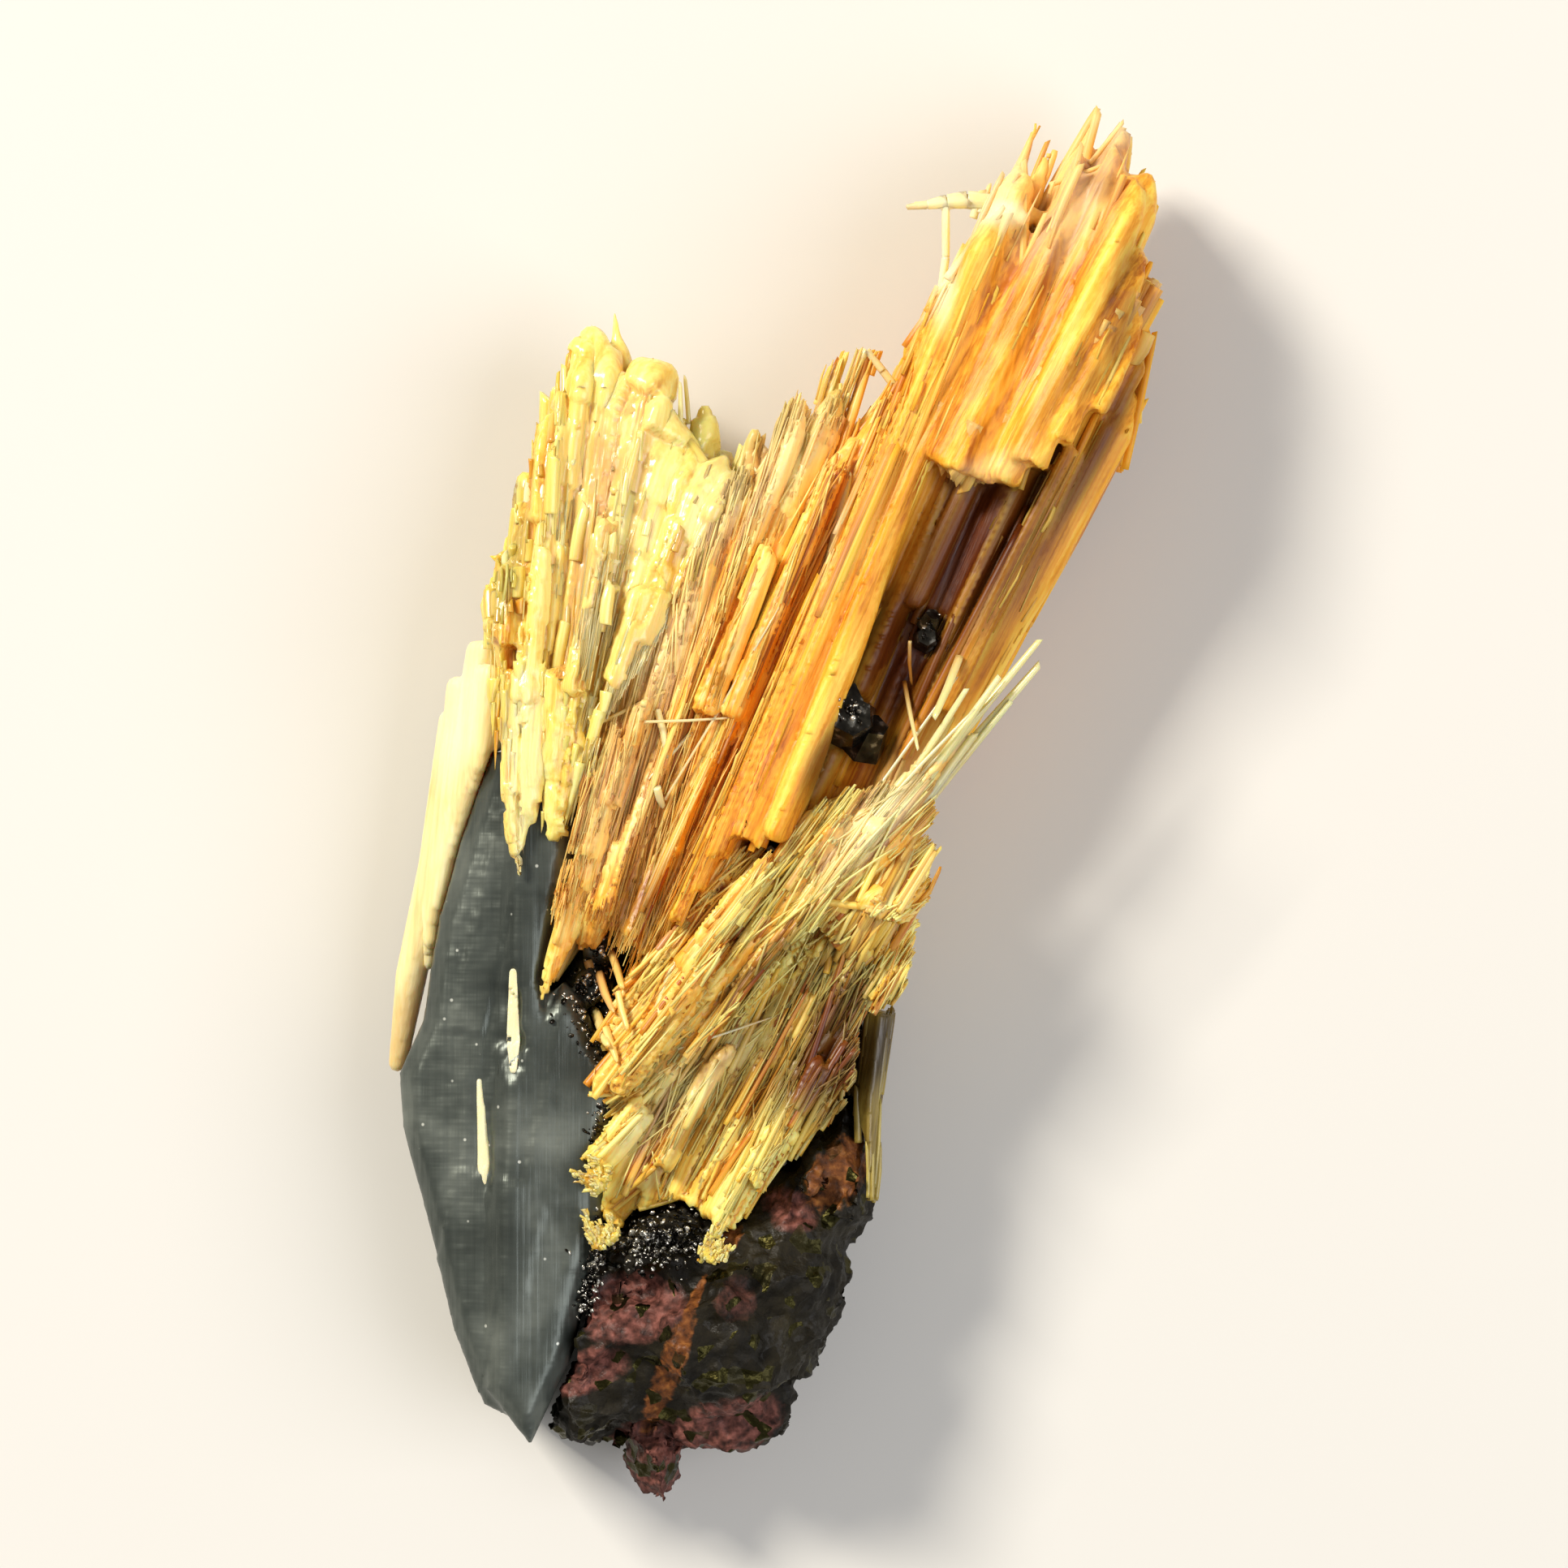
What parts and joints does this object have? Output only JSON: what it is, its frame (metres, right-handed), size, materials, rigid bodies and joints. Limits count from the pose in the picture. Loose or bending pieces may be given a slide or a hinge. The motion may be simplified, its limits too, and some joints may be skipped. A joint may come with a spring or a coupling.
{
  "type": "rutile on hematite specimen",
  "caption": "Hand specimen of golden rutile in fanned sheaves of fine crystals, grown out of a steel-grey hematite blade on rough hematite rock, lying on its back.",
  "frame": {"origin": "under the middle of the specimen's bounding box, on the surface that it lies on", "axes": "+X to the right and +Y up the specimen as it is seen from its front, +Z out of its front, away from the surface that it lies on"},
  "size_m": [0.0188, 0.0346, 0.0069],
  "materials": {
    "golden_rutile": "silky, in fine parallel crystals",
    "pale_rutile": "waxy, slightly translucent",
    "olive_rutile": "glossy, translucent",
    "tabular_hematite": "satin, metallic",
    "iron_stained_hematite": "rough, dull",
    "black_hematite": "glossy, metallic"
  },
  "bodies": {
    "root": {"hematite_blade": "tabular_hematite", "hematite_matrix": "iron_stained_hematite", "left_sheaf": "pale_rutile", "middle_sheaf": "golden_rutile", "long_sheaf": "golden_rutile", "lower_sheaf": "golden_rutile", "tangled_sheaf": "golden_rutile", "side_blades": "pale_rutile", "edge_blade": "olive_rutile", "inlaid_blade_1": "pale_rutile", "inlaid_blade_2": "pale_rutile", "black_crystal_large": "black_hematite", "black_crystal_small": "black_hematite", "rutile_tuft_1": "golden_rutile", "rutile_tuft_2": "golden_rutile", "rutile_tuft_3": "golden_rutile"}
  },
  "joints": []
}
